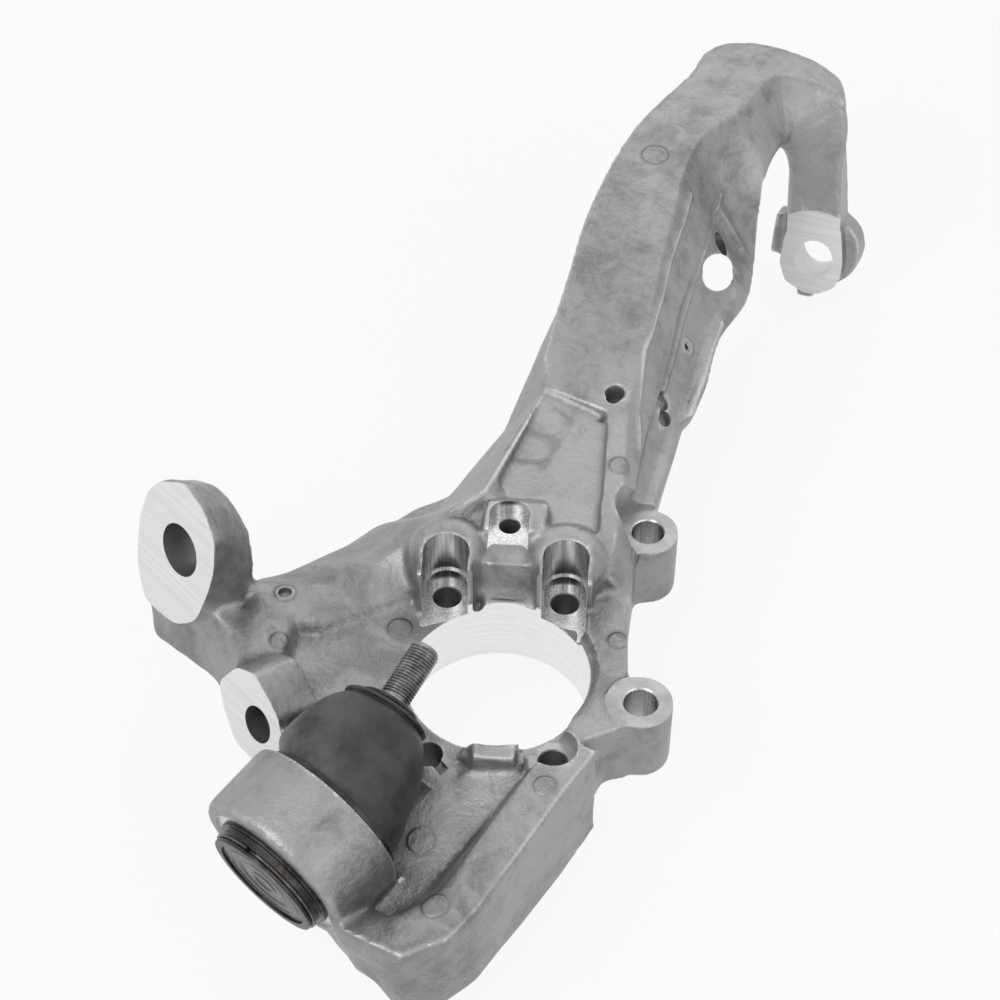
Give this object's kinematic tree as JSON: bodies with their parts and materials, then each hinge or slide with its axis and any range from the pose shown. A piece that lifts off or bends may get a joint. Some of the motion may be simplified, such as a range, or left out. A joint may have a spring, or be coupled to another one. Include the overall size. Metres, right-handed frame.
{
  "type": "steering knuckle",
  "caption": "Cast aluminium steering knuckle with a tall swan-neck arm, hub bearing bore, caliper lugs, lugs for a bolted-on arm and a pressed-in ball joint under a rubber boot.",
  "frame": {"origin": "centre of the hub bore at the outboard mounting face", "axes": "+Z along the hub bore to the inboard side, +Y along the long side of the hub bolt rectangle towards the swan-neck arm, +X towards the caliper lugs"},
  "size_m": [0.3618, 0.573, 0.134],
  "materials": {
    "casting": "as cast, with bright machined faces",
    "sleeve": "dark, with a little rust",
    "seat": "plain",
    "stud": "dark phosphated",
    "clip": "dark spring steel",
    "boot": "satin",
    "boot_ring": "dark"
  },
  "bodies": {
    "housing": {"knuckle_casting": "casting", "ball_joint_sleeve": "sleeve", "ball_seat": "seat", "sleeve_end_plate": "sleeve", "sleeve_clip": "clip", "dust_boot": "boot", "boot_base_ring": "boot_ring"},
    "neck": {"boot_neck_ring": "boot_ring"},
    "stud": {"ball_stud": "stud"}
  },
  "joints": [
    {"name": "stud_swing", "type": "hinge", "parent": "housing", "child": "neck", "pos_m": [-0.077, -0.1005, 0.034], "axis": [0.2149, -0.3866, 0.8969], "range_deg": [-20, 19], "deforming": ["dust_boot"]},
    {"name": "stud_turn", "type": "hinge", "parent": "neck", "child": "stud", "pos_m": [-0.077, -0.1005, 0.034], "axis": [0.4424, 0.8571, 0.2639], "continuous": true}
  ]
}
